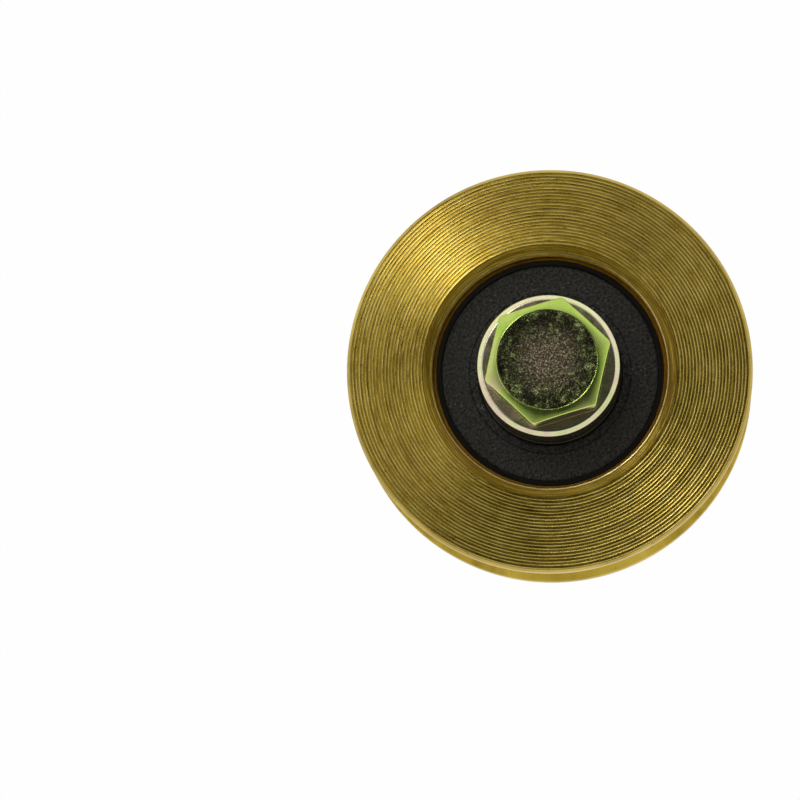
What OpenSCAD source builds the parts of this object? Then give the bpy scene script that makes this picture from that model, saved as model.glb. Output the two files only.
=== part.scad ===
// V groove wheel on a sealed ball bearing, with its bolt, stepped spacers, spring washer and nut.
// The wheel turns about Z, and the bolt head is up. The whole stands on the bolt's end, with the
// origin in the middle of that end. All sizes are in millimetres.

/* [Wheel] */
// Outer diameter of the wheel
wheel_d = 60; // [50:0.5:80]
// Width of the wheel along its axis
wheel_w = 18; // [15:0.5:24]
// Width of the flat land outside each wall of the groove
land_w = 2.3; // [1.5:0.1:3]
// Angle between the two walls of the V groove
groove_angle = 90; // [84:1:110]
// Width of the square slot at the bottom of the V
slot_w = 5.2; // [4:0.1:6.5]
// Depth of the slot below the V
slot_depth = 2.3; // [1:0.1:2.8]
// Chamfer on the outer edges of the rim
rim_chamfer = 0.4; // [0.2:0.1:0.8]
// Chamfer at the mouth of the bearing's bore
bore_chamfer = 1.4; // [0.5:0.1:1.8]
// Radial height of the shoulder that the bearing is pressed against
shoulder_h = 2; // [1:0.1:2.4]

/* [Bearing] */
// Outer diameter of the bearing
bearing_d = 35; // [32:0.5:42]
// Bore of the bearing
bearing_bore = 15; // [12.5:0.5:18]
// Width of the bearing
bearing_w = 11; // [9:0.5:13.5]
// Diameter of each ball
ball_d = 5.953; // [4.9:0.001:7.2]
// Radial gap between the shoulders of the two rings
ring_gap = 3.6; // [3:0.1:4.4]
// Radius of the raceways, as a multiple of the ball's radius
race_conformity = 1.03; // [1.01:0.01:1.06]
// Chamfer on the corners of the rings
ring_chamfer = 0.6; // [0.3:0.1:0.8]
// Radial thickness of the outer ring beside its seals
ring_lip = 1.35; // [1:0.05:1.8]
// Thickness of the steel ribbon of the cage
cage_t = 0.45; // [0.3:0.05:0.6]
// Radial width of the ribbon of the cage
cage_w = 2.4; // [1.8:0.1:2.7]
// Diameter of the cage's rivets
rivet_d = 0.9; // [0.7:0.1:1.1]

/* [Seals] */
// Thickness of the seals
seal_t = 1.1; // [0.8:0.1:1.3]
// Depth of the seals below the side of the bearing
seal_recess = 0.25; // [0.1:0.05:0.4]
// Radial width of the sunken inner band of each seal
seal_band_w = 1.1; // [0.6:0.1:1.4]
// Depth of that band below the rest of the seal
seal_step = 0.3; // [0.2:0.05:0.4]

/* [Spacers] */
// Diameter of the flange of each spacer
flange_d = 21; // [19:0.5:25]
// Length of the flange along the axis
flange_l = 9.3; // [6:0.1:12]
// Length of the nose that fits in the bearing
nose_l = 3.4; // [2:0.1:4.2]
// Diameter of the hole through each spacer
spacer_hole_d = 11.5; // [10.8:0.1:12]
// Chamfer on the outer edge of the flange
flange_chamfer = 0.7; // [0.4:0.1:1.4]
// Small chamfers on the spacer's other edges
edge_chamfer = 0.3; // [0.1:0.1:0.5]

/* [Fasteners] */
// Nominal diameter of the bolt
bolt_d = 10; // [8:0.5:10.4]
// Length of the bolt below its head
bolt_l = 50; // [44:1:70]
// Width across flats of the bolt head and the nut
hex_af = 16.6; // [15:0.1:20]
// Height of the bolt head
head_h = 6.4; // [5:0.1:8]
// Height of the nut
nut_h = 8; // [6:0.1:10]
// Chamfer on the end of the bolt
bolt_chamfer = 0.8; // [0.4:0.1:1.2]
// Radial depth from the bolt's crests to the middle of its thread
thread_mid_depth = 0.48; // [0.3:0.02:0.6]
// Outer diameter of the spring washer
washer_d = 18.1; // [16:0.1:20]
// Thickness of the spring washer
washer_t = 2.2; // [1.5:0.1:3]
// Width of the cut in the spring washer
washer_cut = 1.2; // [0.6:0.1:2]

/* [Clearances] */
// Radial play of a ball between its raceways
ball_play = 0.01; // [0.005:0.005:0.02]
// Gap between a ball and its pocket in the cage
pocket_gap = 0.12; // [0.08:0.01:0.2]
// Gap between the lip of a seal and the inner ring
lip_gap = 0.08; // [0.04:0.01:0.15]
// Radial gap between a spacer's nose and the bearing's bore
nose_gap = 0.015; // [0.01:0.005:0.05]
// Radial gap between the spring washer and the bolt
washer_gap = 0.1; // [0.05:0.05:0.3]
// Radial gap between the threads of the nut and the bolt
thread_gap = 0.02; // [0.01:0.01:0.05]

/* [Hidden] */
$fn = 96;
// A bearing of this size has eight balls, and each is a node of its own
ball_n = 8;
// Amount that a cutting shape runs past what it cuts
over = 1;

// Groove: the walls run in from the lands until they meet the slot
vee_top_w = wheel_w - 2 * land_w;
vee_depth = (vee_top_w - slot_w) / 2 / tan(groove_angle / 2);
slot_top_r = wheel_d / 2 - vee_depth;
slot_floor_r = slot_top_r - slot_depth;

// Bearing: the balls run midway between the bore and the outside
pitch_r = (bearing_d + bearing_bore) / 4;
ball_r = ball_d / 2;
race_r = ball_r * race_conformity;
inner_race_r = pitch_r - ball_r - ball_play + race_r;
outer_race_r = pitch_r + ball_r + ball_play - race_r;
inner_shoulder_r = pitch_r - ring_gap / 2;
outer_shoulder_r = pitch_r + ring_gap / 2;
seal_seat_r = bearing_d / 2 - ring_lip;
seal_seat_z = bearing_w / 2 - seal_recess - seal_t;
seal_in_r = inner_shoulder_r + lip_gap;
side_z = bearing_w / 2;

// Cage
pocket_r = ball_r + pocket_gap;
cage_in_r = pitch_r - cage_w / 2;
cage_out_r = pitch_r + cage_w / 2;
pocket_top_z = pocket_r + cage_t;
rivet_head_r = rivet_d * 0.85;
rivet_head_h = rivet_d * 0.4;
rivet_dome_r = (rivet_head_r * rivet_head_r + rivet_head_h * rivet_head_h) / (2 * rivet_head_h);

// Stack along the bolt, as heights from the middle plane of the groove
head_z = side_z + flange_l;
washer_z = -head_z - washer_t;
nut_z = washer_z - nut_h;
bolt_end_z = head_z - bolt_l;
groove_z = -bolt_end_z;

// The threads are plain. Inside the nut, bolt and nut meet at the middle of their threads
bolt_r = bolt_d / 2;
thread_mid_r = bolt_r - thread_mid_depth;

// Hexagons: each flat end is a circle, a share of the width across flats
hex_face_share = 0.9;
hex_r = hex_af / 2 / cos(30);
hex_face_r = hex_af / 2 * hex_face_share;
hex_chamfer_angle = 30;

// The nut's hole opens out at each end, to this much past the bolt's crests
nut_sink = 0.3;

// Every piece is drawn from the middle plane of the groove, and this stands it on the bolt's end
module stand() {
    translate([0, 0, groove_z])
        children();
}

module ring(inner_r, outer_r, low_z, high_z) {
    rotate_extrude()
        translate([inner_r, low_z])
            square([outer_r - inner_r, high_z - low_z]);
}

module at_each_ball() {
    for (k = [0 : ball_n - 1])
        rotate(k * 360 / ball_n)
            translate([pitch_r, 0, 0])
                children();
}

module at_each_rivet() {
    rotate(180 / ball_n)
        at_each_ball()
            children();
}

module wheel_rim() {
    edge_r = wheel_d / 2;
    edge_z = wheel_w / 2;
    bore_r = bearing_d / 2;
    shoulder_r = bore_r - shoulder_h;
    color("goldenrod")
        stand() rotate_extrude()
            polygon([
                [shoulder_r, -side_z],
                [shoulder_r, -edge_z + rim_chamfer],
                [shoulder_r + rim_chamfer, -edge_z],
                [edge_r - rim_chamfer, -edge_z],
                [edge_r, -edge_z + rim_chamfer],
                [edge_r, -vee_top_w / 2],
                [slot_top_r, -slot_w / 2],
                [slot_floor_r, -slot_w / 2],
                [slot_floor_r, slot_w / 2],
                [slot_top_r, slot_w / 2],
                [edge_r, vee_top_w / 2],
                [edge_r, edge_z - rim_chamfer],
                [edge_r - rim_chamfer, edge_z],
                [bore_r + bore_chamfer, edge_z],
                [bore_r, edge_z - bore_chamfer],
                [bore_r, -side_z],
            ]);
}

module bearing_outer_ring() {
    outer_r = bearing_d / 2;
    color("lightgray")
        stand() difference() {
            rotate_extrude()
                polygon([
                    [outer_shoulder_r, -seal_seat_z],
                    [seal_seat_r, -seal_seat_z],
                    [seal_seat_r, -side_z],
                    [outer_r - ring_chamfer, -side_z],
                    [outer_r, -side_z + ring_chamfer],
                    [outer_r, side_z - ring_chamfer],
                    [outer_r - ring_chamfer, side_z],
                    [seal_seat_r, side_z],
                    [seal_seat_r, seal_seat_z],
                    [outer_shoulder_r, seal_seat_z],
                ]);
            rotate_extrude()
                translate([outer_race_r, 0])
                    circle(r = race_r);
        }
}

module bearing_inner_ring() {
    bore_r = bearing_bore / 2;
    color("lightgray")
        stand() difference() {
            rotate_extrude()
                polygon([
                    [bore_r, -side_z + ring_chamfer],
                    [bore_r + ring_chamfer, -side_z],
                    [inner_shoulder_r, -side_z],
                    [inner_shoulder_r, side_z],
                    [bore_r + ring_chamfer, side_z],
                    [bore_r, side_z - ring_chamfer],
                ]);
            rotate_extrude()
                translate([inner_race_r, 0])
                    circle(r = race_r);
        }
}

// One ball, counted from 1, in its place on the pitch circle
module ball(number) {
    color("silver")
        stand() rotate((number - 1) * 360 / ball_n)
            translate([pitch_r, 0, 0])
                sphere(r = ball_r);
}

// Pressed ribbon: flat webs between the balls, and a domed pocket over each ball
module cage_half() {
    color("darkkhaki")
        difference() {
            intersection() {
                ring(cage_in_r, cage_out_r, 0, pocket_top_z);
                union() {
                    cylinder(r = cage_out_r + over, h = cage_t);
                    at_each_ball()
                        sphere(r = pocket_r + cage_t);
                }
            }
            at_each_ball()
                sphere(r = pocket_r);
            at_each_rivet()
                translate([0, 0, -over])
                    cylinder(d = rivet_d, h = cage_t + 2 * over);
        }
}

module cage_upper_half() {
    stand() cage_half();
}

module cage_lower_half() {
    stand() mirror([0, 0, 1])
        cage_half();
}

module rivet_head() {
    intersection() {
        translate([0, 0, cage_t + rivet_head_h - rivet_dome_r])
            sphere(r = rivet_dome_r);
        translate([0, 0, cage_t])
            cylinder(r = rivet_head_r + over, h = rivet_head_h + over);
    }
}

module cage_rivets() {
    color("gray")
        stand() at_each_rivet() {
            cylinder(d = rivet_d, h = 2 * cage_t, center = true);
            rivet_head();
            mirror([0, 0, 1])
                rivet_head();
        }
}

// Moulded rubber disc, seated in the outer ring, with a sunken band at its lip
module seal() {
    top_z = side_z - seal_recess;
    band_r = seal_in_r + seal_band_w;
    soft = 0.3;
    color([0.09, 0.09, 0.09])
        rotate_extrude()
            polygon([
                [seal_in_r, seal_seat_z],
                [seal_seat_r, seal_seat_z],
                [seal_seat_r, top_z - soft],
                [seal_seat_r - soft, top_z],
                [band_r + seal_step, top_z],
                [band_r, top_z - seal_step],
                [seal_in_r, top_z - seal_step],
            ]);
}

module seal_upper() {
    stand() seal();
}

module seal_lower() {
    stand() mirror([0, 0, 1])
        seal();
}

// Stepped spacer: the flange stands on the side of the bearing, and the nose is in its bore
module spacer() {
    hole_r = spacer_hole_d / 2;
    flange_r = flange_d / 2;
    nose_r = bearing_bore / 2 - nose_gap;
    nose_chamfer = min(edge_chamfer, (nose_r - hole_r) / 3);
    color("palegoldenrod")
        translate([0, 0, side_z])
            rotate_extrude()
                polygon([
                    [hole_r, -nose_l + nose_chamfer],
                    [hole_r + nose_chamfer, -nose_l],
                    [nose_r - nose_chamfer, -nose_l],
                    [nose_r, -nose_l + nose_chamfer],
                    [nose_r, 0],
                    [flange_r - edge_chamfer, 0],
                    [flange_r, edge_chamfer],
                    [flange_r, flange_l - flange_chamfer],
                    [flange_r - flange_chamfer, flange_l],
                    [hole_r + edge_chamfer, flange_l],
                    [hole_r, flange_l - edge_chamfer],
                ]);
}

module spacer_upper() {
    stand() spacer();
}

module spacer_lower() {
    stand() mirror([0, 0, 1])
        spacer();
}

// Hexagon on the XY plane, with its top corners turned off at the chamfer angle
module hex_with_chamfer(height) {
    drop = (hex_r - hex_face_r) * tan(hex_chamfer_angle);
    intersection() {
        cylinder(r = hex_r, h = height, $fn = 6);
        rotate_extrude()
            polygon([
                [0, 0],
                [hex_r + over, 0],
                [hex_r + over, height - drop - over * tan(hex_chamfer_angle)],
                [hex_face_r, height],
                [0, height],
            ]);
    }
}

module hex_bolt() {
    color("khaki")
        stand() union() {
            translate([0, 0, head_z])
                hex_with_chamfer(head_h);
            rotate_extrude()
                polygon([
                    [0, bolt_end_z],
                    [bolt_r - bolt_chamfer, bolt_end_z],
                    [bolt_r, bolt_end_z + bolt_chamfer],
                    [bolt_r, nut_z],
                    [thread_mid_r, nut_z],
                    [thread_mid_r, washer_z],
                    [bolt_r, washer_z],
                    [bolt_r, head_z + over],
                    [0, head_z + over],
                ]);
        }
}

// Split ring, pressed flat by the nut, with its ends cut on a slant
module spring_washer() {
    cut_slant = 20;
    color("darkgray")
        stand() translate([0, 0, washer_z])
            difference() {
                ring(bolt_r + washer_gap, washer_d / 2, 0, washer_t);
                translate([washer_d / 4, 0, washer_t / 2])
                    rotate([cut_slant, 0, 0])
                        cube([washer_d / 2 + over, washer_cut, 3 * washer_t], center = true);
            }
}

module hex_nut() {
    hole_r = thread_mid_r + thread_gap;
    sink_r = bolt_r + nut_sink;
    sink_h = sink_r - hole_r;
    color("khaki")
        stand() translate([0, 0, nut_z])
            difference() {
                intersection() {
                    hex_with_chamfer(nut_h);
                    translate([0, 0, nut_h])
                        mirror([0, 0, 1])
                            hex_with_chamfer(nut_h);
                }
                translate([0, 0, -over])
                    cylinder(r = hole_r, h = nut_h + 2 * over);
                cylinder(r1 = sink_r, r2 = hole_r, h = sink_h);
                translate([0, 0, nut_h - sink_h])
                    cylinder(r1 = hole_r, r2 = sink_r, h = sink_h);
            }
}

wheel_rim();
bearing_outer_ring();
bearing_inner_ring();
ball(1);  // ball_1
ball(2);  // ball_2
ball(3);  // ball_3
ball(4);  // ball_4
ball(5);  // ball_5
ball(6);  // ball_6
ball(7);  // ball_7
ball(8);  // ball_8
cage_upper_half();
cage_lower_half();
cage_rivets();
seal_upper();
seal_lower();
spacer_upper();
spacer_lower();
hex_bolt();
spring_washer();
hex_nut();
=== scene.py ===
"""Looks of the V groove wheel: turned gold steel, yellow zinc fasteners, a rubber-sealed bearing.

Everything is in metres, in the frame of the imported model. The wheel's axis is Z.
"""

import math
import random

import bpy
from mathutils import Matrix, Vector


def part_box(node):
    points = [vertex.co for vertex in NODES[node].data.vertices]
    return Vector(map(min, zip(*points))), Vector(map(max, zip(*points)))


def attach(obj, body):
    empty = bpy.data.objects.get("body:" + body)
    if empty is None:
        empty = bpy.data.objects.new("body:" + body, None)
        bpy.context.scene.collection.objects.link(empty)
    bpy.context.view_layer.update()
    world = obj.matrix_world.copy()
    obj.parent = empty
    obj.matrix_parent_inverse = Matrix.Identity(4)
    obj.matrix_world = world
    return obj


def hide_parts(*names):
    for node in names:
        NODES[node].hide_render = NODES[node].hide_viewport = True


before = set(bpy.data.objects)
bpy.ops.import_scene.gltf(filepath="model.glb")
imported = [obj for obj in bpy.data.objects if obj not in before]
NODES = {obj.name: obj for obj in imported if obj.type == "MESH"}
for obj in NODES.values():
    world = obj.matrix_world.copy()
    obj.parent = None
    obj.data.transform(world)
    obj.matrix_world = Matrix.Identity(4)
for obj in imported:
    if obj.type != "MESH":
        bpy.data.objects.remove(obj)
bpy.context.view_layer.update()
MM = 0.001

# ---------------------------------------------------------------- sizes


def reach(node):
    """Half of a node's width along X, with its lowest and highest height."""
    low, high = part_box(node)
    return (high[0] - low[0]) / 2, low[2], high[2]


WHEEL_R, WHEEL_LOW, WHEEL_HIGH = reach("wheel_rim")
BEARING_R, BEARING_LOW, BEARING_HIGH = reach("bearing_outer_ring")
SEAL_R, _, SEAL_TOP_Z = reach("seal_upper")
FLANGE_R, UPPER_NOSE_Z, UPPER_FACE_Z = reach("spacer_upper")
HEX_CORNER_R, BOLT_END_Z, HEAD_TOP_Z = reach("hex_bolt")
_, NUT_LOW, NUT_HIGH = reach("hex_nut")
MID_Z = (WHEEL_LOW + WHEEL_HIGH) / 2
BALLS = 8

# sizes that the boxes don't give, as in the construction
LAND_W = 2.3 * MM
SLOT_W = 5.2 * MM
SLOT_DEPTH = 2.3 * MM
SHOULDER_H = 2.0 * MM
BORE_CHAMFER = 1.4 * MM
SEAL_T = 1.1 * MM
SEAL_STEP = 0.3 * MM
SEAL_BAND_R = 11.88 * MM
SPACER_HOLE_R = 5.75 * MM
SPACER_NOSE_R = 7.485 * MM
SPACER_EDGE = 0.3 * MM
FLANGE_CHAMFER = 0.7 * MM
BOLT_R = 5.0 * MM
BOLT_CHAMFER = 0.8 * MM

# sizes that the construction gives a little differently, or leaves out
RIM_EDGE = 0.48 * MM
BORE_DEPTH = 1.05 * MM
SEAL_IN_R = 10.71 * MM
EDGE_SOFT = 0.12 * MM
THREAD_PITCH = 1.5 * MM
THREAD_DEPTH = 0.92 * MM
HEX_CORNER_ROUND = 0.7 * MM
HEAD_DISH = 0.03 * MM
HEAD_RIM = 0.22 * MM

# the lathe's marks on the wheel: how far apart they are, and how deep
FACE_PITCH = 0.493 * MM
FACE_MARK = 0.046 * MM
BORE_PITCH = 0.42 * MM
BORE_MARK = 0.045 * MM
LAND_PITCH = 0.6 * MM
WALL_PITCH = 0.27 * MM
SLOT_PITCH = 0.5 * MM
WALL_MARK = 0.006 * MM

# steps round the axis
WHEEL_STEPS = 256
RING_STEPS = 160
HEX_STEPS = 192
THREAD_STEPS = 48

# the wheel's upper face, between its two chamfers, and the marks on the inner one
FACE_OUT_R = WHEEL_R - RIM_EDGE
FACE_IN_R = BEARING_R + BORE_CHAMFER
CHAMFER_RUN = BORE_CHAMFER - EDGE_SOFT
CHAMFER_MARKS = round(math.hypot(CHAMFER_RUN, BORE_DEPTH) / BORE_PITCH)

# ---------------------------------------------------------------- mesh helpers


def new_piece(name, shape, materials, body, node, smooth_angle=30.0):
    """Mesh on a body that stands for a node, smooth but for edges sharper than smooth_angle.

    shape is its vertices and its faces, and smooth_angle is in degrees.
    """
    verts, faces = shape
    mesh = bpy.data.meshes.new(name)
    mesh.from_pydata(verts, [], faces)
    mesh.update()
    mesh.validate()
    piece = bpy.data.objects.new(name, mesh)
    bpy.context.scene.collection.objects.link(piece)
    for material in materials:
        mesh.materials.append(material)
    mesh.shade_smooth()
    mesh.set_sharp_from_angle(angle=math.radians(smooth_angle))
    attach(piece, body)
    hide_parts(node)
    return piece


def sweep(columns, closed=False, shift=0):
    """Vertices and faces through columns of (r, angle, z) points, one column to each angle.

    closed joins each column's last point to its first. shift is how many points further up
    the first column the last column meets it, which makes a helix.
    """
    count = len(columns[0])
    verts = [(r * math.cos(a), r * math.sin(a), z) for column in columns for r, a, z in column]
    faces = []
    for step in range(len(columns)):
        here, there = step * count, (step + 1) % len(columns) * count
        up = shift if step == len(columns) - 1 else 0
        for i in range(count if closed else count - 1 - up):
            j = (i + 1) % count
            faces.append((here + i, there + i + up, there + j + up, here + j))
    return verts, faces


def angles_round(steps):
    """Even angles round the axis."""
    return [2 * math.pi * step / steps for step in range(steps)]


def lathe(outline, steps):
    """Vertices and faces of a closed (r, z) outline turned about Z."""
    return sweep([[(r, angle, z) for r, z in outline] for angle in angles_round(steps)], closed=True)


def joined(first, second):
    """The vertices and faces of two shapes together."""
    verts, faces = first
    more_verts, more_faces = second
    return verts + more_verts, faces + [tuple(len(verts) + i for i in face) for face in more_faces]


def mirrored(outline):
    """The (r, z) outline turned over about the wheel's middle plane."""
    return [(r, 2 * MID_Z - z) for r, z in reversed(outline)]


def arc(centre_r, centre_z, radius, start, end, steps):
    """Points of an arc in the (r, z) plane, with its angles in degrees."""
    points = []
    for i in range(steps + 1):
        angle = math.radians(start + (end - start) * i / steps)
        points.append((centre_r + radius * math.cos(angle), centre_z + radius * math.sin(angle)))
    return points


def eased(outline, size):
    """The closed outline with each corner rounded off by about size.

    A point just beside each round keeps the flat next to it flat when it is shaded smooth.
    """
    steps = 2
    beside = 1.4
    result = []
    for i, point in enumerate(outline):
        corner = Vector(point)
        before = Vector(outline[i - 1]) - corner
        after = Vector(outline[(i + 1) % len(outline)]) - corner
        cut = min(size, before.length / 3, after.length / 3)
        start = corner + before.normalized() * cut
        end = corner + after.normalized() * cut
        result.append(tuple(corner + before.normalized() * cut * beside))
        for k in range(steps + 1):
            t = k / steps
            result.append(tuple(start * (1 - t) ** 2 + corner * 2 * t * (1 - t) + end * t ** 2))
        result.append(tuple(corner + after.normalized() * cut * beside))
    return result


# ---------------------------------------------------------------- material helpers


class Graph:
    """Short calls for building one material's nodes.

    A noise's scale counts per metre, so 1000 gives a grain of about a millimetre.
    """

    def __init__(self, name):
        self.material = bpy.data.materials.new(name)
        self.material.use_nodes = True
        self.tree = self.material.node_tree
        self.bsdf = self.tree.nodes["Principled BSDF"]

    def add(self, kind, **settings):
        node = self.tree.nodes.new(kind)
        for key, value in settings.items():
            setattr(node, key, value)
        return node

    def link(self, source, target):
        self.tree.links.new(source, target)

    def feed(self, socket, value):
        """Links a socket to another one, or gives it a constant."""
        if isinstance(value, bpy.types.NodeSocket):
            self.link(value, socket)
        else:
            socket.default_value = value

    def math(self, operation, first, second=None):
        node = self.add("ShaderNodeMath", operation=operation)
        self.feed(node.inputs[0], first)
        if second is not None:
            self.feed(node.inputs[1], second)
        return node.outputs[0]

    def blend(self, *parts):
        """Sum of values, each given with its share."""
        first, *others = [self.math("MULTIPLY", value, share) for value, share in parts]
        for other in others:
            first = self.math("ADD", first, other)
        return first

    def noise(self, vector, scale, detail, roughness):
        node = self.add("ShaderNodeTexNoise")
        node.inputs["Scale"].default_value = scale
        node.inputs["Detail"].default_value = detail
        node.inputs["Roughness"].default_value = roughness
        self.link(vector, node.inputs["Vector"])
        return node.outputs["Fac"]

    def ramp(self, value, stops):
        """Colours that run between stops, each a place and a colour."""
        node = self.add("ShaderNodeValToRGB")
        elements = node.color_ramp.elements
        while len(elements) < len(stops):
            elements.new(0.5)
        for element, (place, colour) in zip(elements, stops):
            element.position = place
            element.color = (*colour, 1.0)
        self.link(value, node.inputs["Fac"])
        return node.outputs["Color"]

    def span(self, value, low, high, to_low, to_high):
        """The value's way from low to high, as a way from to_low to to_high."""
        node = self.add("ShaderNodeMapRange", clamp=True)
        for socket, number in zip(node.inputs[1:5], (low, high, to_low, to_high)):
            socket.default_value = number
        self.link(value, node.inputs[0])
        return node.outputs[0]

    def mix(self, factor, first, second):
        """From the first colour to the second as factor goes from 0 to 1."""
        node = self.add("ShaderNodeMix", data_type="RGBA")
        self.feed(node.inputs["Factor"], factor)
        self.feed(node.inputs[6], first)
        self.feed(node.inputs[7], second)
        return node.outputs[2]

    def position(self):
        return self.add("ShaderNodeTexCoord").outputs["Object"]

    def place(self):
        """X, Y, Z and the distance from the Z axis."""
        split = self.add("ShaderNodeSeparateXYZ")
        self.link(self.position(), split.inputs[0])
        x, y, z = split.outputs
        squares = self.math("ADD", self.math("MULTIPLY", x, x), self.math("MULTIPLY", y, y))
        return x, y, z, self.math("SQRT", squares)

    def radius(self):
        return self.place()[3]

    def around_axis(self, turn_scale, line_scale):
        """A vector that changes slowly round the axis, and fast with the radius and the height."""
        x, y, z, radius = self.place()
        join = self.add("ShaderNodeCombineXYZ")
        self.link(self.math("MULTIPLY", self.math("DIVIDE", x, radius), turn_scale), join.inputs[0])
        self.link(self.math("MULTIPLY", self.math("DIVIDE", y, radius), turn_scale), join.inputs[1])
        self.link(self.blend((radius, line_scale), (z, line_scale)), join.inputs[2])
        return join.outputs[0]

    def bump(self, height, strength, distance, over=None):
        """Bumped normal, over another one if it is given."""
        node = self.add("ShaderNodeBump")
        node.inputs["Strength"].default_value = strength
        node.inputs["Distance"].default_value = distance
        self.link(height, node.inputs["Height"])
        if over is not None:
            self.link(over, node.inputs["Normal"])
        return node.outputs["Normal"]

    def turned_tangent(self, amount):
        """Stretches highlights across the lathe marks."""
        self.bsdf.inputs["Anisotropic"].default_value = amount
        self.bsdf.inputs["Anisotropic Rotation"].default_value = 0.25
        tangent = self.add("ShaderNodeTangent", direction_type="RADIAL", axis="Z")
        self.link(tangent.outputs[0], self.bsdf.inputs["Tangent"])

    def surface(self, colour, roughness, normal=None, metallic=1.0):
        """The material, with these on its surface."""
        self.link(colour, self.bsdf.inputs["Base Color"])
        self.link(roughness, self.bsdf.inputs["Roughness"])
        if normal is not None:
            self.link(normal, self.bsdf.inputs["Normal"])
        self.bsdf.inputs["Metallic"].default_value = metallic
        return self.material


# ---------------------------------------------------------------- materials

GOLD_SHADES = [
    (0.36, (0.26, 0.165, 0.018)),
    (0.46, (0.46, 0.315, 0.035)),
    (0.56, (0.62, 0.445, 0.060)),
    (0.66, (0.74, 0.570, 0.130)),
]
CREST_GOLD = (0.90, 0.75, 0.32, 1.0)
HOLLOW_GOLD = (0.28, 0.170, 0.016, 1.0)
PAINTED_LIGHT_GOLD = (0.98, 0.76, 0.15, 1.0)
RUBBED_GOLD = (0.90, 0.82, 0.58, 1.0)
TORN_GOLD = (0.20, 0.120, 0.015, 1.0)
GOLD_SPECK = (0.10, 0.06, 0.015, 1.0)


def gold_turned(name, crest_from=None, crest_step=None, wear=0.0, coarse=0.0, bright=0.0):
    """Yellow passivated turned steel, with olive patina between the tool marks.

    crest_from and crest_step are the radius of the outermost crest and the pitch of the marks,
    in metres. The crests are worn paler, and the hollows keep a deeper colour. wear is how far
    the whole surface is rubbed towards bare steel, and coarse is how torn its cut is. The last
    argument lightens the colour towards a clear yellow and makes the metal half diffuse: painted
    light, for a surface in shade.
    """
    g = Graph(name)
    rings = g.noise(g.around_axis(1.6, 9000.0 / (1 + 3 * coarse)), 1.0, 4.0, 0.6)
    arcs = g.noise(g.around_axis(8.0, 4200.0 / (1 + coarse)), 1.0, 3.0, 0.6)
    clouds = g.noise(g.position(), 95.0, 3.0, 0.55)
    colour = g.ramp(g.blend((rings, 0.3), (arcs, 0.35), (clouds, 0.35)), GOLD_SHADES)
    if crest_step:
        inward = g.math("SUBTRACT", crest_from, g.radius())
        away = g.math("MULTIPLY", g.math("PINGPONG", inward, crest_step / 2), 2 / crest_step)
        worn = g.span(away, 0.0, 0.5, 0.8, 0.0)
        worn = g.math("MULTIPLY", worn, g.span(arcs, 0.38, 0.6, 0.2, 1.0))
        colour = g.mix(worn, colour, CREST_GOLD)
        colour = g.mix(g.span(away, 0.5, 0.9, 0.0, 0.75), colour, HOLLOW_GOLD)
    # painted light: lightens the colour towards a clear yellow, and the metal is made half diffuse below
    if bright:
        colour = g.mix(bright, colour, PAINTED_LIGHT_GOLD)
    if wear:
        colour = g.mix(wear, colour, RUBBED_GOLD)
    if coarse:
        colour = g.mix(g.span(rings, 0.40, 0.62, 0.7 * coarse, 0.0), colour, TORN_GOLD)
    specks = g.noise(g.position(), 1500.0, 2.0, 0.5)
    colour = g.mix(g.span(specks, 0.68, 0.76, 0.0, 0.6), colour, GOLD_SPECK)
    haze = 0.08 * coarse
    roughness = g.span(arcs, 0.3, 0.7, 0.22 + haze, 0.34 + haze)
    fine_lines = g.noise(g.around_axis(2.0, 26000.0), 1.0, 2.0, 0.5)
    broken = g.bump(arcs, 0.5, (0.06 + 0.14 * coarse) * MM)
    g.turned_tangent(0.7)
    return g.surface(colour, roughness, g.bump(fine_lines, 0.35, 0.02 * MM, over=broken),
                     metallic=1.0 - 0.5 * bright)


SCUFF = (0.16, 0.10, 0.07, 1.0)
BLUSHES = [
    (0.36, (0.62, 0.66, 0.22)),
    (0.46, (0.78, 0.68, 0.26)),
    (0.54, (0.82, 0.60, 0.34)),
    (0.62, (0.80, 0.50, 0.42)),
]


def zinc_plate(name, tints, dull, blush_below=None):
    """Yellow zinc plate: tints drift over bright steel, under fine scuffs as dark as dull.

    Below the height blush_below the plate also drifts to gold and rose.
    """
    g = Graph(name)
    drift = g.noise(g.position(), 130.0, 3.0, 0.6)
    cloud = g.noise(g.position(), 480.0, 4.0, 0.6)
    places = (0.30, 0.42, 0.50, 0.58, 0.68)
    colour = g.ramp(g.blend((drift, 0.75), (cloud, 0.25)), list(zip(places, tints)))
    if blush_below:
        patches = g.noise(g.position(), 75.0, 4.0, 0.6)
        low = g.span(g.place()[2], blush_below - 0.4 * MM, blush_below, 0.72, 0.0)
        colour = g.mix(low, colour, g.ramp(patches, BLUSHES))
    scuffs = g.noise(g.position(), 3200.0, 3.0, 0.6)
    colour = g.mix(g.span(scuffs, 0.58, 0.76, 0.0, dull), colour, SCUFF)
    return g.surface(colour, g.span(cloud, 0.3, 0.7, 0.10, 0.22), g.bump(scuffs, 0.35, 0.03 * MM))


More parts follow.
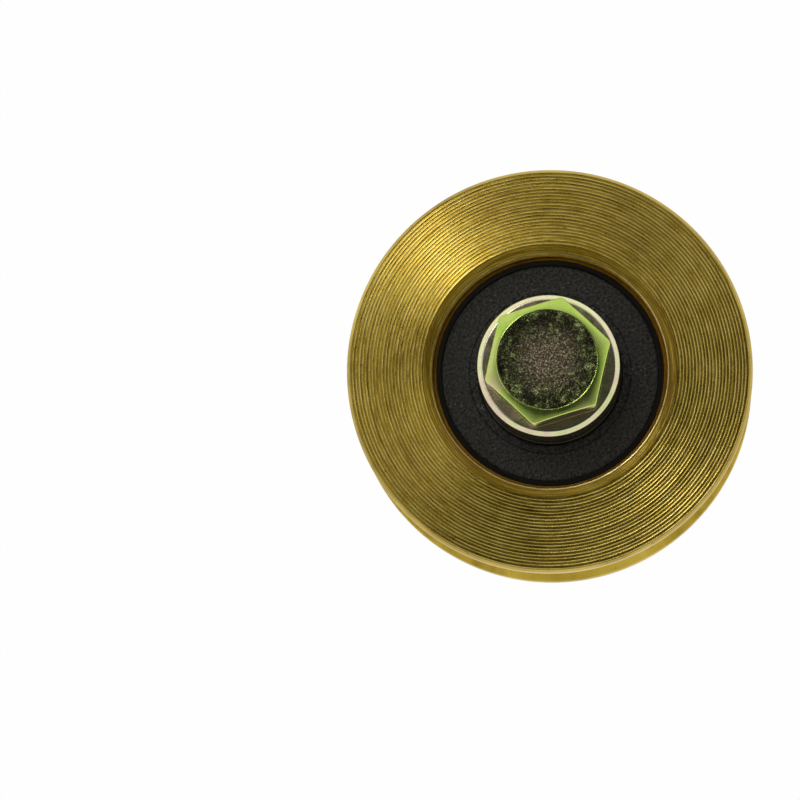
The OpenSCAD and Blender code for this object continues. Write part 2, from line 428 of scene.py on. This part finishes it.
def head_top_shaded():
    """Dull top of the bolt head: mottled green and black, browner and grainier in the middle; its
    near-black is painted shade.
    """
    g = Graph("head_top_shaded")
    grain = g.noise(g.position(), 4600.0, 4.0, 0.65)
    blots = g.noise(g.position(), 620.0, 4.0, 0.6)
    # the near-black stops here and in the inner ramp are painted shade, for a flat face that mirrors a
    # dark overhead; the green and brown mottle is the plate's own
    outer = g.ramp(g.blend((grain, 0.5), (blots, 0.5)), [
        (0.45, (0.014, 0.012, 0.008)),
        (0.53, (0.070, 0.075, 0.030)),
        (0.60, (0.30, 0.36, 0.13)),
        (0.69, (0.80, 0.86, 0.48)),
    ])
    inner = g.ramp(grain, [
        (0.40, (0.045, 0.032, 0.020)),
        (0.54, (0.19, 0.145, 0.095)),
        (0.68, (0.80, 0.72, 0.50)),
    ])
    ragged = g.math("ADD", g.radius(), g.math("MULTIPLY", blots, 6.0 * MM))
    middle = g.span(ragged, 5.0 * MM, 8.5 * MM, 1.0, 0.0)
    roughness = g.span(grain, 0.3, 0.7, 0.18, 0.34)
    return g.surface(g.mix(middle, outer, inner), roughness, g.bump(grain, 1.0, 0.12 * MM))


def seal_rubber():
    """Matt moulded rubber with a fine grain and a few pale specks of dust."""
    g = Graph("seal_rubber")
    grain = g.noise(g.position(), 2500.0, 4.0, 0.7)
    patches = g.noise(g.position(), 260.0, 3.0, 0.5)
    colour = g.ramp(grain, [(0.40, (0.002, 0.002, 0.002)), (0.62, (0.060, 0.059, 0.056))])
    dust = g.noise(g.position(), 2100.0, 1.0, 0.4)
    dust = g.math("MULTIPLY", g.span(dust, 0.66, 0.74, 0.0, 0.7), g.span(patches, 0.42, 0.6, 0.0, 1.0))
    colour = g.mix(dust, colour, (0.20, 0.195, 0.18, 1.0))
    g.bsdf.inputs["Specular IOR Level"].default_value = 0.35
    roughness = g.span(patches, 0.3, 0.7, 0.38, 0.56)
    return g.surface(colour, roughness, g.bump(grain, 1.0, 0.22 * MM), metallic=0.0)


def polished_steel(name, low, high, roughness, gold_reflection_from=None):
    """Ground bearing steel with faint grinding lines, and a painted gold reflection past the last radius.
    """
    g = Graph(name)
    lines = g.noise(g.around_axis(2.0, 16000.0), 1.0, 2.0, 0.5)
    colour = g.ramp(lines, [(0.35, low), (0.65, high)])
    rough = g.span(lines, 0.3, 0.7, roughness, roughness + 0.08)
    if gold_reflection_from:
        # painted reflection of the gold bore wall on the steel beyond this radius, which also roughens it
        painted_reflection = g.span(g.radius(), gold_reflection_from, gold_reflection_from + 0.1 * MM, 0.0, 1.0)
        colour = g.mix(painted_reflection, colour, (0.52, 0.39, 0.20, 1.0))
        rough = g.math("ADD", rough, g.math("MULTIPLY", painted_reflection, 0.25))
    return g.surface(colour, rough)


def pressed_steel():
    """Bare pressed steel of the cage."""
    g = Graph("pressed_steel")
    grain = g.noise(g.position(), 1400.0, 3.0, 0.6)
    colour = g.ramp(grain, [(0.3, (0.34, 0.32, 0.27)), (0.7, (0.58, 0.55, 0.48))])
    return g.surface(colour, g.span(grain, 0.3, 0.7, 0.30, 0.45))


def spring_steel():
    """Dark hardened steel of the spring washer, with a thin worn plate."""
    g = Graph("spring_steel")
    grain = g.noise(g.position(), 900.0, 4.0, 0.6)
    colour = g.ramp(grain, [(0.35, (0.09, 0.075, 0.05)), (0.65, (0.30, 0.27, 0.17))])
    return g.surface(colour, g.span(grain, 0.3, 0.7, 0.30, 0.48), g.bump(grain, 0.3, 0.03 * MM))


def even_pitch(width, pitch):
    """The pitch of whole marks that fill the width, as near to this pitch as they can."""
    return width / round(width / pitch)


GOLD = gold_turned("gold_turned")
GOLD_RIM = gold_turned("gold_rim", wear=0.12)
GOLD_WORN = gold_turned("gold_worn", wear=0.5)
GOLD_BORE = gold_turned("gold_bore", FACE_IN_R, CHAMFER_RUN / CHAMFER_MARKS, coarse=1.0)
# painted light: the bore wall above the bearing is lightened and made half diffuse, in place of light it
# does not get
GOLD_WALL_PAINTED_LIGHT = gold_turned("gold_wall_painted_light", bright=0.85)
GOLD_FACE = gold_turned("gold_face", FACE_OUT_R, even_pitch(FACE_OUT_R - FACE_IN_R, FACE_PITCH))
ZINC_GREEN = zinc_plate(
    "zinc_green",
    ((0.44, 0.72, 0.11), (0.56, 0.78, 0.14), (0.62, 0.80, 0.17), (0.72, 0.82, 0.24), (0.80, 0.70, 0.36)),
    dull=0.35, blush_below=HEAD_TOP_Z - 1.2 * MM)
ZINC_PALE = zinc_plate(
    "zinc_pale",
    ((0.62, 0.76, 0.42), (0.78, 0.80, 0.42), (0.86, 0.82, 0.50), (0.84, 0.68, 0.52), (0.72, 0.66, 0.68)),
    dull=0.4)
HEAD_TOP = head_top_shaded()
RUBBER = seal_rubber()
# painted shade: both bearing rings are painted far darker than bare bearing steel, as they lie in shade
# deep in the bore
SHADED_RING_STEEL = polished_steel(
    "shaded_ring_steel", (0.10, 0.09, 0.07), (0.18, 0.16, 0.12), 0.05, gold_reflection_from=BEARING_R - 0.6 * MM)
BALL_STEEL = polished_steel("ball_steel", (0.62, 0.62, 0.62), (0.78, 0.78, 0.78), 0.06)
CAGE_STEEL = pressed_steel()
WASHER_STEEL = spring_steel()

# ---------------------------------------------------------------- wheel

# Sections of one mark, as shares of its pitch and of its depth. The two uneven ones have a steep
# side that faces the axis and a long side that faces outward.
EVEN_MARK = ((0.0, 0.0), (0.5, 1.0))
INWARD_MARK = ((0.0, 0.0), (0.09, 0.2), (0.28, 1.0), (0.48, 0.9), (0.68, 0.65), (0.86, 0.32))
OUTWARD_MARK = ((0.0, 0.0), (0.4, 0.68), (0.8, 1.0))


def tool_marks(start, end, pitch, depth, seed, shape=EVEN_MARK):
    """Points from start to end with the shallow hollows that a round-nosed tool leaves.

    Each hollow is cut to the left of the way from start to end, and its depth varies.
    """
    draw = random.Random(seed)
    start, end = Vector(start), Vector(end)
    way = end - start
    count = max(1, round(way.length / pitch))
    inward = Vector((-way.y, way.x)).normalized()
    points = []
    for k in range(count):
        deep = depth * (0.6 + 0.8 * draw.random())
        for place, share in shape:
            point = start + way * ((k + place) / count) + inward * deep * share
            points.append((point.x, point.y))
    return points


def wheel_outline():
    """Section of the rim, anticlockwise in (r, z), from the shoulder's lower edge."""
    soft = EDGE_SOFT
    vee_half = (WHEEL_HIGH - WHEEL_LOW) / 2 - LAND_W
    vee_low, vee_high = MID_Z - vee_half, MID_Z + vee_half
    slot_low, slot_high = MID_Z - SLOT_W / 2, MID_Z + SLOT_W / 2
    slot_top_r = WHEEL_R - (vee_half - SLOT_W / 2)
    floor_r = slot_top_r - SLOT_DEPTH
    shoulder_r = BEARING_R - SHOULDER_H
    edge_low, edge_high = WHEEL_LOW + RIM_EDGE, WHEEL_HIGH - RIM_EDGE
    chamfer_low = WHEEL_HIGH - BORE_DEPTH

    # the shoulder, the lower face and its edge
    points = [(shoulder_r, BEARING_LOW), (shoulder_r, edge_low)]
    points += arc(shoulder_r + RIM_EDGE, edge_low, RIM_EDGE, 180, 270, 3)[1:-1]
    points += tool_marks((shoulder_r + RIM_EDGE, WHEEL_LOW), (FACE_OUT_R, WHEEL_LOW),
                         FACE_PITCH, FACE_MARK, seed=3, shape=OUTWARD_MARK)
    points += [(FACE_OUT_R, WHEEL_LOW), (FACE_OUT_R + soft, WHEEL_LOW + soft / 2)]
    points += [(WHEEL_R - soft / 2, edge_low - soft)]
    # the lower land and wall, the slot, and the upper wall and land
    points += tool_marks((WHEEL_R, edge_low), (WHEEL_R, vee_low - soft), LAND_PITCH, WALL_MARK, seed=5)
    points += [(WHEEL_R, vee_low - soft)]
    points += tool_marks((WHEEL_R - soft, vee_low + soft), (slot_top_r, slot_low),
                         WALL_PITCH, WALL_MARK, seed=7)
    points += [(slot_top_r, slot_low), (floor_r + soft, slot_low)]
    points += tool_marks((floor_r, slot_low + soft), (floor_r, slot_high - soft),
                         SLOT_PITCH, WALL_MARK, seed=9)
    points += [(floor_r, slot_high - soft), (floor_r + soft, slot_high)]
    points += tool_marks((slot_top_r, slot_high), (WHEEL_R - soft, vee_high - soft),
                         WALL_PITCH, WALL_MARK, seed=11)
    points += [(WHEEL_R - soft, vee_high - soft)]
    points += tool_marks((WHEEL_R, vee_high + soft), (WHEEL_R, edge_high), LAND_PITCH, WALL_MARK, seed=13)
    # the upper edge and face, the chamfer, and the bore
    points += [(WHEEL_R, edge_high), (WHEEL_R - soft / 2, edge_high + soft)]
    points += [(FACE_OUT_R + soft, WHEEL_HIGH - soft / 2)]
    points += tool_marks((FACE_OUT_R, WHEEL_HIGH), (FACE_IN_R, WHEEL_HIGH),
                         FACE_PITCH, FACE_MARK, seed=15, shape=INWARD_MARK)
    points += tool_marks((FACE_IN_R, WHEEL_HIGH), (BEARING_R + soft, chamfer_low),
                         BORE_PITCH, BORE_MARK, seed=17, shape=INWARD_MARK)
    points += [(BEARING_R + soft, chamfer_low)]
    points += tool_marks((BEARING_R, chamfer_low - soft / 6), (BEARING_R, BEARING_HIGH),
                         BORE_PITCH, BORE_MARK, seed=19)
    points += [(BEARING_R, BEARING_HIGH), (BEARING_R, BEARING_LOW)]
    return points


def wheel_finish(centre):
    """The gold of the rim's surface at this point."""
    depth = (WHEEL_HIGH - WHEEL_LOW) / 2 - abs(centre.z - MID_Z)
    radius = centre.xy.length
    by_bore = radius < BEARING_R + EDGE_SOFT
    deepest_mark = 0.1 * MM
    if depth < deepest_mark and radius < FACE_OUT_R:
        return GOLD_FACE
    if radius > FACE_OUT_R and depth < RIM_EDGE + EDGE_SOFT:
        return GOLD_RIM
    if by_bore and abs(depth - BORE_DEPTH) < EDGE_SOFT:
        return GOLD_WORN
    if radius < FACE_IN_R and depth < BORE_DEPTH:
        return GOLD_BORE
    # the bore wall above the bearing, lightened with painted light
    if by_bore and centre.z > BEARING_HIGH:
        return GOLD_WALL_PAINTED_LIGHT
    return GOLD


def make_wheel():
    """The rim, lathed with its real tool marks."""
    finishes = (GOLD, GOLD_FACE, GOLD_RIM, GOLD_WORN, GOLD_BORE, GOLD_WALL_PAINTED_LIGHT)
    wheel = new_piece("turned_wheel", lathe(wheel_outline(), WHEEL_STEPS), finishes,
                      body="wheel", node="wheel_rim", smooth_angle=18.0)
    for polygon in wheel.data.polygons:
        polygon.material_index = finishes.index(wheel_finish(polygon.center))


# ---------------------------------------------------------------- bearing


def seal_outline():
    """Section of the upper seal: a rounded outer bead, a flat and a sunken lip."""
    bead = 0.3 * MM
    low = SEAL_TOP_Z - SEAL_T
    flat = SEAL_TOP_Z - 0.05 * MM
    band = SEAL_TOP_Z - SEAL_STEP
    points = [(SEAL_IN_R, low), (SEAL_R, low), (SEAL_R, SEAL_TOP_Z - bead)]
    points += arc(SEAL_R - bead, SEAL_TOP_Z - bead, bead, 0, 90, 4)[1:]
    # the flat, and the slope down to the band
    points += [(SEAL_R - 0.9 * MM, SEAL_TOP_Z), (SEAL_R - 1.0 * MM, flat)]
    points += [(SEAL_BAND_R + 0.5 * MM, flat), (SEAL_BAND_R + 0.22 * MM, SEAL_TOP_Z - 0.08 * MM)]
    points += [(SEAL_BAND_R + 0.05 * MM, band)]
    # the band, and its rounded lip
    points += [(SEAL_IN_R + 0.35 * MM, band), (SEAL_IN_R + 0.12 * MM, band - 0.06 * MM)]
    points += [(SEAL_IN_R, band - 0.2 * MM)]
    return points


def make_seals():
    """The two rubber seals, which are mirror images."""
    upper = seal_outline()
    for name, outline, node in (("rubber_seal_upper", upper, "seal_upper"),
                                ("rubber_seal_lower", mirrored(upper), "seal_lower")):
        new_piece(name, lathe(outline, RING_STEPS), [RUBBER],
                  body="wheel", node=node)


def give(node, material):
    """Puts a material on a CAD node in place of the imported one."""
    for place in NODES[node].material_slots:
        place.material = material


def finish_cad_nodes():
    """The rings, balls, cage, rivets and spring washer keep their shape and take their steel."""
    for name in ("bearing_outer_ring", "bearing_inner_ring"):
        give(name, SHADED_RING_STEEL)
    for number in range(1, BALLS + 1):
        give(f"ball_{number}", BALL_STEEL)
    for name in ("cage_upper_half", "cage_lower_half", "cage_rivets"):
        give(name, CAGE_STEEL)
    give("spring_washer", WASHER_STEEL)


# ---------------------------------------------------------------- spacers


def spacer_outline():
    """Section of the upper spacer, anticlockwise from the foot of its hole."""
    return [
        (SPACER_HOLE_R, UPPER_NOSE_Z + SPACER_EDGE),
        (SPACER_HOLE_R + SPACER_EDGE, UPPER_NOSE_Z),
        (SPACER_NOSE_R - SPACER_EDGE, UPPER_NOSE_Z),
        (SPACER_NOSE_R, UPPER_NOSE_Z + SPACER_EDGE),
        (SPACER_NOSE_R, BEARING_HIGH),
        (FLANGE_R - SPACER_EDGE, BEARING_HIGH),
        (FLANGE_R, BEARING_HIGH + SPACER_EDGE),
        (FLANGE_R, UPPER_FACE_Z - FLANGE_CHAMFER),
        (FLANGE_R - FLANGE_CHAMFER, UPPER_FACE_Z),
        (SPACER_HOLE_R + SPACER_EDGE, UPPER_FACE_Z),
        (SPACER_HOLE_R, UPPER_FACE_Z - SPACER_EDGE),
    ]


def make_spacers():
    """The two stepped spacers, which are mirror images."""
    upper = eased(spacer_outline(), EDGE_SOFT)
    for name, outline, node in (("zinc_spacer_upper", upper, "spacer_upper"),
                                ("zinc_spacer_lower", mirrored(upper), "spacer_lower")):
        new_piece(name, lathe(outline, RING_STEPS), [ZINC_PALE],
                  body="axle", node=node)


# ---------------------------------------------------------------- hexagons and threads

SIDES = 6
HEX_CHAMFER = math.radians(30)
HEX_FLAT_R = HEX_CORNER_R * math.cos(math.radians(30))
HEX_FACE_R = HEX_FLAT_R * 0.9
HEX_SMOOTH = 28.0
# one turn of the thread, as shares of its pitch and of its depth
THREAD_SHAPE = ((0.0, 0.0), (0.06, 0.1), (0.42, 0.9), (0.50, 1.0), (0.58, 0.9), (0.94, 0.1))


def hex_radius(angle):
    """Distance from the axis to a hexagon with rounded corners, with one corner at angle 0."""
    side = 2 * math.pi / SIDES
    off_corner = (angle + side / 2) % side - side / 2
    flat_r = HEX_FLAT_R - HEX_CORNER_ROUND
    centre = flat_r / math.cos(side / 2)
    touch = math.atan2(flat_r * math.tan(side / 2), HEX_FLAT_R)
    if abs(off_corner) < side / 2 - touch:
        across = centre * math.sin(off_corner)
        return centre * math.cos(off_corner) + math.sqrt(HEX_CORNER_ROUND ** 2 - across ** 2)
    return HEX_FLAT_R / math.cos(side / 2 - abs(off_corner))


def hex_side(angle, face_z, sign):
    """Points down a hexagon's turned-off corner, from its face circle to its side.

    sign is 1 for an upper face and -1 for a lower one.
    """
    radius = hex_radius(angle)
    slope = math.tan(HEX_CHAMFER)
    soft = 0.08 * MM
    edge_z = face_z - sign * (radius - HEX_FACE_R) * slope
    return [
        (HEX_FACE_R - soft, face_z),
        (HEX_FACE_R, face_z - sign * soft * 0.15),
        (radius - soft, edge_z + sign * soft * slope),
        (radius, edge_z - sign * soft),
    ]


def head_shape():
    """The hexagon head, with one face over the middle of its top."""
    seat_edge = 0.1 * MM
    top_z = HEAD_TOP_Z - HEAD_DISH
    columns = []
    for angle in angles_round(HEX_STEPS):
        radius = hex_radius(angle)
        outline = [
            (BOLT_R * 0.9, UPPER_FACE_Z),
            (radius - seat_edge, UPPER_FACE_Z),
            (radius, UPPER_FACE_Z + seat_edge),
            *reversed(hex_side(angle, HEAD_TOP_Z, 1)),
            (HEX_FACE_R - HEAD_RIM, top_z),
            (HEX_FACE_R * 0.5, top_z),
            (0.02 * MM, top_z),
        ]
        columns.append([(r, angle, z) for r, z in outline])
    verts, faces = sweep(columns)
    faces.append(tuple(range(len(columns[0]) - 1, len(verts), len(columns[0]))))
    return verts, faces


def thread_column(angle, low_z, high_z):
    """(r, z) points up the bolt's helical thread at one angle, held between low_z and high_z."""
    turns_below = 2
    turns = math.ceil((high_z - low_z) / THREAD_PITCH) + turns_below + 1
    start = low_z - THREAD_PITCH * turns_below + THREAD_PITCH * angle / (2 * math.pi)
    points = []
    for k in range(turns):
        for place, share in THREAD_SHAPE:
            z = start + THREAD_PITCH * (k + place)
            points.append((BOLT_R - THREAD_DEPTH * share, min(max(z, low_z), high_z)))
    return points


def shank_shape():
    """The full-length thread, with one face over the bolt's chamfered end."""
    high_z = UPPER_FACE_Z - 0.02 * MM
    columns = []
    for angle in angles_round(THREAD_STEPS):
        column = []
        for r, z in thread_column(angle, BOLT_END_Z, high_z):
            chamfer_r = BOLT_R - BOLT_CHAMFER + (z - BOLT_END_Z)
            column.append((min(r, chamfer_r) if z > BOLT_END_Z else chamfer_r, angle, z))
        columns.append(column)
    verts, faces = sweep(columns, shift=len(THREAD_SHAPE))
    faces.append(tuple(reversed(range(0, len(verts), len(columns[0])))))
    return verts, faces


def make_bolt():
    """Hexagon head with its corners turned off, over a full-length rolled thread."""
    finishes = (ZINC_GREEN, HEAD_TOP)
    bolt = new_piece("zinc_bolt", joined(head_shape(), shank_shape()), finishes,
                     body="axle", node="hex_bolt", smooth_angle=HEX_SMOOTH)
    for polygon in bolt.data.polygons:
        on_top = polygon.center.z > HEAD_TOP_Z - 2 * HEAD_DISH
        if on_top and polygon.center.xy.length < HEX_FACE_R - HEAD_RIM:
            polygon.material_index = finishes.index(HEAD_TOP)


def make_nut():
    """Hexagon nut turned off on both faces, with a plain hole countersunk at both ends."""
    hole_r = BOLT_R + 0.03 * MM
    sink_r = BOLT_R + 0.35 * MM
    sink_h = 0.5 * MM
    columns = []
    for angle in angles_round(HEX_STEPS):
        outline = [
            (hole_r, NUT_LOW + sink_h),
            (sink_r, NUT_LOW),
            *hex_side(angle, NUT_LOW, -1),
            *reversed(hex_side(angle, NUT_HIGH, 1)),
            (sink_r, NUT_HIGH),
            (hole_r, NUT_HIGH - sink_h),
        ]
        columns.append([(r, angle, z) for r, z in outline])
    new_piece("zinc_nut", sweep(columns, closed=True), [ZINC_GREEN],
              body="axle", node="hex_nut", smooth_angle=HEX_SMOOTH)


# ---------------------------------------------------------------- stage, light and camera

# The view, in the camera's right, up and back directions: where the wheel's axis points, how far
# round the hexagon's corner on X is turned, and where the middle of the wheel's face is.
AXIS_IN_VIEW = Vector((-0.0533, 0.120, 0.9913)).normalized()
CORNER_ANGLE = math.radians(17.1)
FACE_FROM_CAMERA = Vector((22.06, 4.42, -782.1)) * MM
LENS = 238.3


def view_axes():
    """Matrix whose rows are the camera's right, up and back directions in the model's frame."""
    corner = Vector((math.cos(CORNER_ANGLE), math.sin(CORNER_ANGLE), 0.0))
    corner = (corner - AXIS_IN_VIEW * corner.dot(AXIS_IN_VIEW)).normalized()
    third = AXIS_IN_VIEW.cross(corner)
    return Matrix((corner, third, AXIS_IN_VIEW)).transposed()


TO_CAMERA = view_axes()
FROM_CAMERA = TO_CAMERA.transposed()
RIGHT, UP, BACK = (Vector(TO_CAMERA[i]) for i in range(3))
FACE_CENTRE = Vector((0.0, 0.0, WHEEL_HIGH))


def make_camera():
    camera = bpy.data.objects.new("camera", bpy.data.cameras.new("camera"))
    bpy.context.scene.collection.objects.link(camera)
    camera.data.lens = LENS
    camera.data.sensor_width = 36.0
    camera.data.clip_start = 0.01
    camera.data.clip_end = 10.0
    place = FACE_CENTRE - FROM_CAMERA @ FACE_FROM_CAMERA
    camera.matrix_world = Matrix.Translation(place) @ FROM_CAMERA.to_4x4()
    bpy.context.scene.camera = camera


def make_light(name, side, up, back, width, length, watts):
    """Area light placed from the wheel along the view's own axes, and aimed at the wheel.

    Its length runs in the plane that holds the wheel's axis.
    """
    light = bpy.data.lights.new(name, "AREA")
    light.shape = "RECTANGLE"
    light.size = width
    light.size_y = length
    light.energy = watts
    lamp = bpy.data.objects.new(name, light)
    bpy.context.scene.collection.objects.link(lamp)
    place = FACE_CENTRE + RIGHT * side + UP * up + BACK * back
    lamp.location = place
    lamp.rotation_mode = "QUATERNION"
    lamp.rotation_quaternion = (place - FACE_CENTRE).to_track_quat("Z", "Y")


def make_world():
    """A pale room with a dark ceiling, whose middle leans a little down and right in the view."""
    world = bpy.data.worlds.new("room")
    bpy.context.scene.world = world
    world.use_nodes = True
    tree = world.node_tree
    coordinates = tree.nodes.new("ShaderNodeTexCoord")
    overhead = tree.nodes.new("ShaderNodeVectorMath")
    overhead.operation = "DOT_PRODUCT"
    overhead.inputs[1].default_value = Vector((0.0, 0.0, 1.0)) - UP * 0.10 + RIGHT * 0.06
    level = tree.nodes.new("ShaderNodeMapRange")
    level.inputs["From Min"].default_value = 0.50
    level.inputs["From Max"].default_value = 0.82
    level.inputs["To Min"].default_value = 0.75
    level.inputs["To Max"].default_value = 0.04
    background = tree.nodes["Background"]
    background.inputs["Strength"].default_value = 1.0
    tree.links.new(coordinates.outputs["Generated"], overhead.inputs[0])
    tree.links.new(overhead.outputs["Value"], level.inputs["Value"])
    tree.links.new(level.outputs[0], background.inputs["Color"])


def make_floor():
    """Pale floor that the bolt's end stands on. It looks white, and keeps the soft shadow."""
    half = 2.0
    white_share = 0.985
    mesh = bpy.data.meshes.new("floor")
    corners = [(-half, -half, 0), (half, -half, 0), (half, half, 0), (-half, half, 0)]
    mesh.from_pydata(corners, [], [(0, 1, 2, 3)])
    floor = bpy.data.objects.new("floor", mesh)
    bpy.context.scene.collection.objects.link(floor)
    g = Graph("floor_white")
    g.bsdf.inputs["Base Color"].default_value = (0.86, 0.86, 0.86, 1.0)
    g.bsdf.inputs["Roughness"].default_value = 0.9
    path = g.add("ShaderNodeLightPath")
    seen = g.math("MAXIMUM", path.outputs["Is Camera Ray"], path.outputs["Is Glossy Ray"])
    seen = g.math("MAXIMUM", seen, path.outputs["Is Transmission Ray"])
    glow = g.add("ShaderNodeEmission")
    mix = g.add("ShaderNodeMixShader")
    g.link(g.math("MULTIPLY", seen, white_share), mix.inputs[0])
    g.link(g.bsdf.outputs[0], mix.inputs[1])
    g.link(glow.outputs[0], mix.inputs[2])
    g.link(mix.outputs[0], g.tree.nodes["Material Output"].inputs["Surface"])
    mesh.materials.append(g.material)


# ---------------------------------------------------------------- the scene

make_wheel()
make_seals()
make_spacers()
make_bolt()
make_nut()
finish_cad_nodes()
make_camera()
make_world()
make_floor()
make_light("key", side=-0.30, up=0.46, back=0.80, width=0.13, length=0.36, watts=0.9)
make_light("sky", side=-0.30, up=0.46, back=0.80, width=1.0, length=0.30, watts=0.34)
make_light("top", side=0.12, up=0.49, back=0.86, width=0.35, length=0.30, watts=0.17)
make_light("left", side=-0.42, up=0.05, back=0.87, width=0.3, length=0.35, watts=0.32)
bpy.context.scene.view_settings.view_transform = "Standard"
